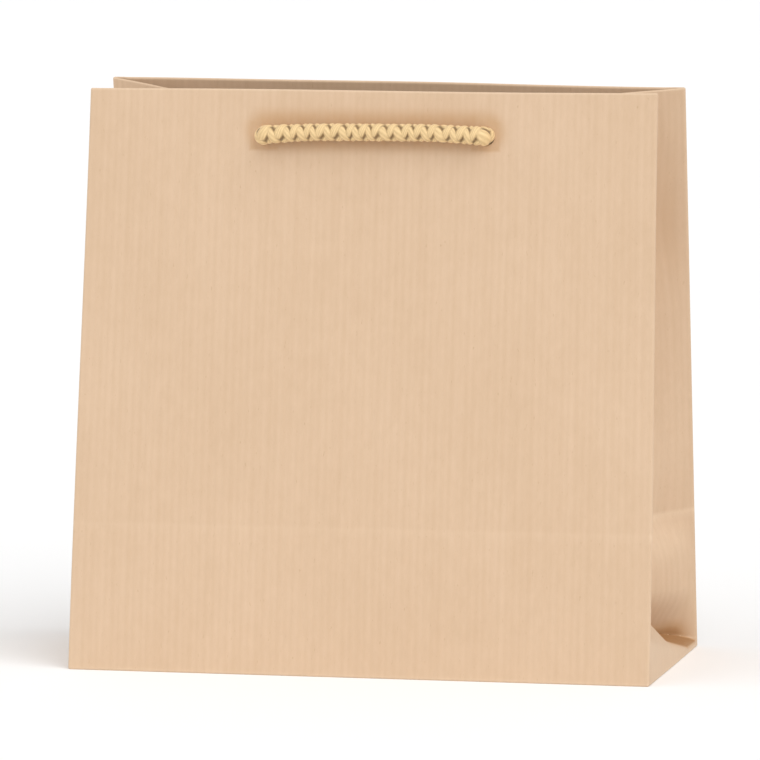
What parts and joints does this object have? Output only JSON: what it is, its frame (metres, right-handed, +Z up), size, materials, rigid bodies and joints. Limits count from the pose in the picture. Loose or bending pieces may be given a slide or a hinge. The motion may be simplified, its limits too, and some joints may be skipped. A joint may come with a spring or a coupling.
{
  "type": "gift bag",
  "caption": "Upright kraft-paper gift bag with folded side gussets, a turned-in top and a knotted cord handle on each wall; the mouth opens and the handles pull out.",
  "frame": {"origin": "centre of the footprint, on the floor", "axes": "+Z up; +Y from the front wall to the back wall; +X along the front wall, to the right seen from the front"},
  "size_m": [0.22, 0.102, 0.2138],
  "materials": {
    "kraft_paper": "matte ribbed kraft paper",
    "kraft_paper_inside": "matte plain kraft paper",
    "grey_card": "rough grey board",
    "knotted_cord": "knotted cotton cord with a slight sheen"
  },
  "bodies": {
    "base": {"base_board": "grey_card", "base_front_flap": "kraft_paper", "base_back_flap": "kraft_paper", "base_left_flap": "kraft_paper_inside", "base_right_flap": "kraft_paper_inside", "left_lower_gusset": "kraft_paper", "right_lower_gusset": "kraft_paper", "left_front_corner_gusset": "kraft_paper", "left_back_corner_gusset": "kraft_paper", "right_front_corner_gusset": "kraft_paper", "right_back_corner_gusset": "kraft_paper", "left_front_gusset": "kraft_paper", "left_back_gusset": "kraft_paper", "right_front_gusset": "kraft_paper", "right_back_gusset": "kraft_paper", "left_front_gusset_hem": "kraft_paper_inside", "left_back_gusset_hem": "kraft_paper_inside", "right_front_gusset_hem": "kraft_paper_inside", "right_back_gusset_hem": "kraft_paper_inside"},
    "front_wall": {"front_panel": "kraft_paper", "front_hem": "kraft_paper_inside", "front_card": "grey_card"},
    "back_wall": {"back_panel": "kraft_paper", "back_hem": "kraft_paper_inside", "back_card": "grey_card", "back_seam_flap": "kraft_paper_inside"},
    "front_handle": {"front_handle_cord": "knotted_cord"},
    "front_tails": {"front_left_tail": "knotted_cord", "front_right_tail": "knotted_cord", "front_left_knot": "knotted_cord", "front_right_knot": "knotted_cord"},
    "back_handle": {"back_handle_cord": "knotted_cord"},
    "back_tails": {"back_left_tail": "knotted_cord", "back_right_tail": "knotted_cord", "back_left_knot": "knotted_cord", "back_right_knot": "knotted_cord"}
  },
  "joints": [
    {"name": "front_wall_tilt", "type": "hinge", "parent": "base", "child": "front_wall", "pos_m": [0, -0.051, 0], "axis": [1, 0, 0], "range_deg": [-3, 8], "deforming": ["left_front_gusset", "right_front_gusset", "left_front_corner_gusset", "right_front_corner_gusset", "left_front_gusset_hem", "right_front_gusset_hem"]},
    {"name": "back_wall_tilt", "type": "hinge", "parent": "base", "child": "back_wall", "pos_m": [0, 0.051, 0], "axis": [-1, 0, 0], "range_deg": [-3, 8], "deforming": ["left_back_gusset", "right_back_gusset", "left_back_corner_gusset", "right_back_corner_gusset", "left_back_gusset_hem", "right_back_gusset_hem"]},
    {"name": "front_handle_pull", "type": "slide", "parent": "front_wall", "child": "front_handle", "axis": [0, -0.7071, 0.7071], "range_m": [0, 0.03], "deforming": ["front_handle_cord"]},
    {"name": "front_tails_rise", "type": "slide", "parent": "front_wall", "child": "front_tails", "axis": [0, 0, 1], "range_m": [0, 0.0105]},
    {"name": "back_handle_pull", "type": "slide", "parent": "back_wall", "child": "back_handle", "axis": [0, 0.7071, 0.7071], "range_m": [0, 0.03], "deforming": ["back_handle_cord"]},
    {"name": "back_tails_rise", "type": "slide", "parent": "back_wall", "child": "back_tails", "axis": [0, 0, 1], "range_m": [0, 0.0105]}
  ],
  "couplings": [
    {"joint": "front_tails_rise", "follows": "front_handle_pull", "ratio": 0.35},
    {"joint": "back_tails_rise", "follows": "back_handle_pull", "ratio": 0.35}
  ]
}
